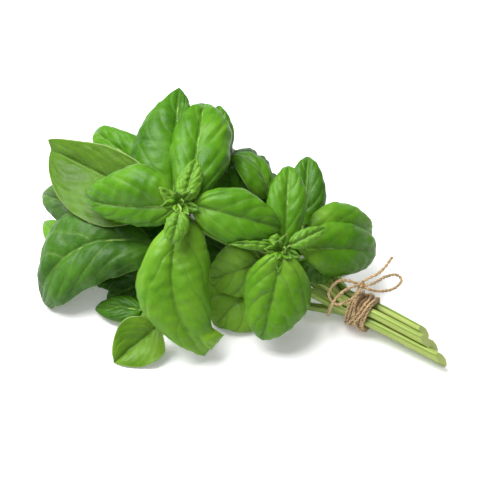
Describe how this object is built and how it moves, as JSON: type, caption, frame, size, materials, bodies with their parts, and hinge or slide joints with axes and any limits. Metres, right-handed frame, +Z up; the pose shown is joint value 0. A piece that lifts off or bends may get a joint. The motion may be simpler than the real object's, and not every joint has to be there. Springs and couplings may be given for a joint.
{
  "type": "basil bunch",
  "caption": "Bunch of fresh basil sprigs lying on its side, with broad domed leaves and cut stems tied by jute twine in a small bow.",
  "frame": {"origin": "on the table under the middle of the bunch, measured without its twine", "axes": "+X along the bunch towards the cut stem ends, +Z up"},
  "size_m": [0.2468, 0.1564, 0.084],
  "materials": {
    "leaf": "satin, quilted between the veins, with a pale underside",
    "young_leaf": "satin, thinner and yellower than the grown leaves",
    "stem": "satin, ridged lengthwise, with pale stripes",
    "twine": "rough twisted jute with loose fibres"
  },
  "bodies": {
    "root": {"back_leaf_1": "leaf", "back_leaf_10": "leaf", "back_leaf_11": "leaf", "back_leaf_12": "leaf", "back_leaf_2": "leaf", "back_leaf_3": "leaf", "back_leaf_4": "leaf", "back_leaf_5": "leaf", "back_leaf_6": "leaf", "back_leaf_7": "leaf", "back_leaf_8": "leaf", "back_leaf_9": "leaf", "back_stem": "stem", "left_leaf_1": "leaf", "left_leaf_2": "leaf", "left_leaf_3": "leaf", "left_leaf_4": "leaf", "left_leaf_5": "leaf", "left_leaf_6": "leaf", "left_leaf_7": "leaf", "left_leaf_8": "leaf", "left_stem": "stem", "low_leaf_1": "leaf", "low_leaf_10": "leaf", "low_leaf_2": "leaf", "low_leaf_3": "leaf", "low_leaf_4": "young_leaf", "low_leaf_5": "leaf", "low_leaf_6": "leaf", "low_leaf_7": "leaf", "low_leaf_8": "leaf", "low_leaf_9": "leaf", "low_stem": "stem", "near_leaf_1": "leaf", "near_leaf_2": "leaf", "near_leaf_3": "leaf", "near_leaf_4": "young_leaf", "near_leaf_5": "young_leaf", "near_leaf_6": "young_leaf", "near_stem": "stem", "right_leaf_1": "leaf", "right_leaf_2": "leaf", "right_leaf_3": "leaf", "right_leaf_4": "leaf", "right_stem": "stem", "tall_leaf_1": "leaf", "tall_leaf_2": "leaf", "tall_leaf_3": "leaf", "tall_leaf_4": "leaf", "tall_leaf_5": "leaf", "tall_leaf_6": "young_leaf", "tall_leaf_7": "young_leaf", "tall_stem": "stem", "twine_knot": "twine", "twine_loop_left": "twine", "twine_loop_right": "twine", "twine_tail_down": "twine", "twine_tail_up": "twine", "twine_wrap": "twine"}
  },
  "joints": []
}
